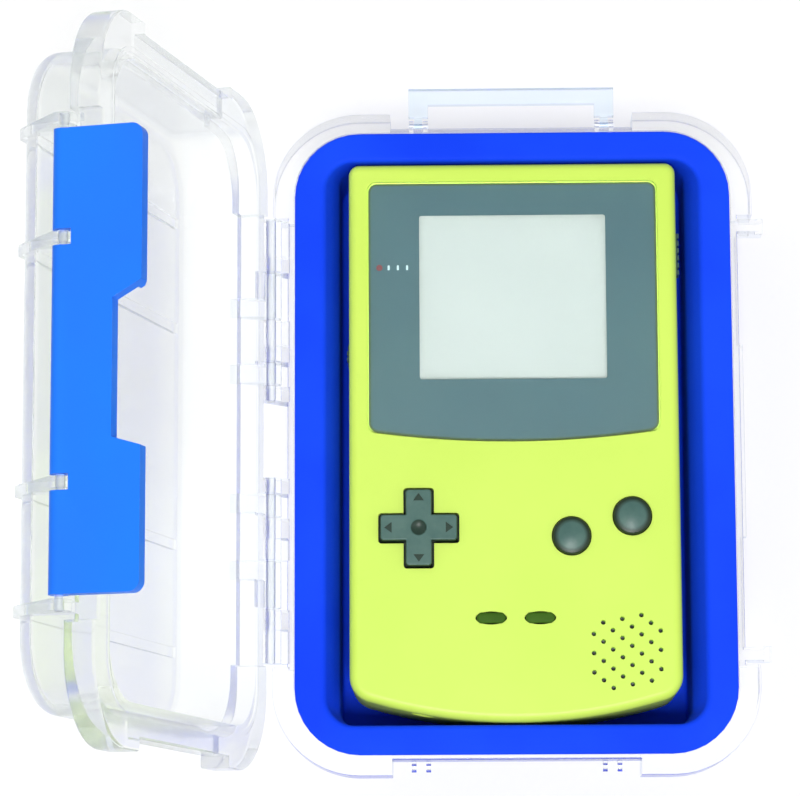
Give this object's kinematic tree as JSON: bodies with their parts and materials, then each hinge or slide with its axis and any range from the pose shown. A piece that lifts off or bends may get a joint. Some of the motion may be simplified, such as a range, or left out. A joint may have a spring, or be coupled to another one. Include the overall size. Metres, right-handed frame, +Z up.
{
  "type": "hand-held game in a hinged clear case",
  "caption": "Clear hinged carrying case with a swinging latch, end bail and blue moulded liner, holding a button-operated hand-held electronic game.",
  "frame": {"origin": "centre of the flat underside of the base", "axes": "+X from the hinge to the catch, +Y along the case to the end with the bail, +Z up out of the base"},
  "size_m": [0.165, 0.1649, 0.147],
  "materials": {
    "clear_plastic": "clear polycarbonate, polished",
    "natural_nylon": "natural translucent nylon",
    "latch_blue": "moulded blue plastic, satin",
    "liner_blue": "moulded soft blue rubber",
    "game_shell": "moulded yellow-green plastic, fine satin",
    "lens": "clear plate printed on its back, polished",
    "display": "pale reflective display glass",
    "light_plastic": "white moulded frame",
    "flex_amber": "amber film",
    "button_grey": "dark grey moulded plastic",
    "key_rubber": "dark grey rubber",
    "membrane_rubber": "grey silicone",
    "board_green": "green printed board",
    "dark_metal": "dark stamped metal",
    "cell_wrap": "plain dark wrapped cell",
    "contact_steel": "plated steel",
    "cartridge_grey": "grey moulded plastic",
    "dark_plastic": "black moulded plastic",
    "dark_red": "dark red filter plastic",
    "lamp_red": "tinted lamp, unlit"
  },
  "bodies": {
    "base": {"base_shell": "clear_plastic", "hinge_pin_upper": "natural_nylon", "hinge_pin_lower": "natural_nylon", "liner": "liner_blue", "bail_pins": "natural_nylon"},
    "lid": {"lid_shell": "clear_plastic", "latch_pin": "natural_nylon"},
    "latch": {"latch": "latch_blue"},
    "bail": {"bail_handle": "clear_plastic"},
    "game": {"front_shell": "game_shell", "rear_shell": "game_shell", "battery_cover": "game_shell", "screen_lens": "lens", "display_panel": "display", "display_holder": "light_plastic", "display_flex": "flex_amber", "d_pad_membrane": "membrane_rubber", "button_membrane": "membrane_rubber", "key_membrane": "membrane_rubber", "main_board": "board_green", "speaker": "dark_metal", "battery_cells": "cell_wrap", "battery_contacts": "contact_steel", "cartridge": "cartridge_grey", "cartridge_connector": "dark_plastic", "link_port": "dark_plastic", "switch_body": "contact_steel", "volume_pot": "contact_steel", "headphone_jack": "dark_plastic", "dc_jack": "dark_plastic", "infrared_window": "dark_red", "power_lamp": "lamp_red", "case_screws": "contact_steel", "board_screws": "contact_steel"},
    "d_pad_pivot": {"d_pad_pivot": "button_grey"},
    "d_pad": {"d_pad": "button_grey"},
    "a_button": {"a_button": "button_grey"},
    "b_button": {"b_button": "button_grey"},
    "start_button": {"start_button": "key_rubber"},
    "select_button": {"select_button": "key_rubber"},
    "power_switch": {"power_switch": "button_grey"},
    "volume_wheel": {"volume_wheel": "button_grey"}
  },
  "joints": [
    {"name": "lid_hinge", "type": "hinge", "parent": "base", "child": "lid", "pos_m": [-0.0575, 0, 0.03175], "axis": [0, -1, 0], "range_deg": [-105, 0]},
    {"name": "latch_hinge", "type": "hinge", "parent": "lid", "child": "latch", "pos_m": [-0.09452, 0, 0.14037], "axis": [0, -1, 0], "range_deg": [0, 100]},
    {"name": "bail_swing", "type": "hinge", "parent": "base", "child": "bail", "pos_m": [0, 0.0768, 0.0275], "axis": [1, 0, 0], "range_deg": [-80, 80]},
    {"name": "game_lift", "type": "slide", "parent": "base", "child": "game", "axis": [0, 0, 1], "range_m": [0, 0.06]},
    {"name": "d_pad_rock_up_down", "type": "hinge", "parent": "game", "child": "d_pad_pivot", "pos_m": [-0.0226, -0.0211, 0.0253], "axis": [1, 0, 0], "range_deg": [-3.5, 3.5], "stiffness_Nm_per_rad": 0.06},
    {"name": "d_pad_rock_left_right", "type": "hinge", "parent": "d_pad_pivot", "child": "d_pad", "pos_m": [-0.0226, -0.0211, 0.0253], "axis": [0, 1, 0], "range_deg": [-3.5, 3.5], "stiffness_Nm_per_rad": 0.06},
    {"name": "a_press", "type": "slide", "parent": "game", "child": "a_button", "axis": [0, 0, 1], "range_m": [-0.0012, 0], "stiffness_N_per_m": 900},
    {"name": "b_press", "type": "slide", "parent": "game", "child": "b_button", "axis": [0, 0, 1], "range_m": [-0.0012, 0], "stiffness_N_per_m": 900},
    {"name": "start_press", "type": "slide", "parent": "game", "child": "start_button", "axis": [0, 0, 1], "range_m": [-0.0008, 0], "stiffness_N_per_m": 900},
    {"name": "select_press", "type": "slide", "parent": "game", "child": "select_button", "axis": [0, 0, 1], "range_m": [-0.0008, 0], "stiffness_N_per_m": 900},
    {"name": "power_slide", "type": "slide", "parent": "game", "child": "power_switch", "axis": [0, 1, 0], "range_m": [0, 0.003]},
    {"name": "volume_turn", "type": "hinge", "parent": "game", "child": "volume_wheel", "pos_m": [-0.0305, 0.022, 0], "axis": [0, 0, 1], "range_deg": [0, 270]}
  ]
}
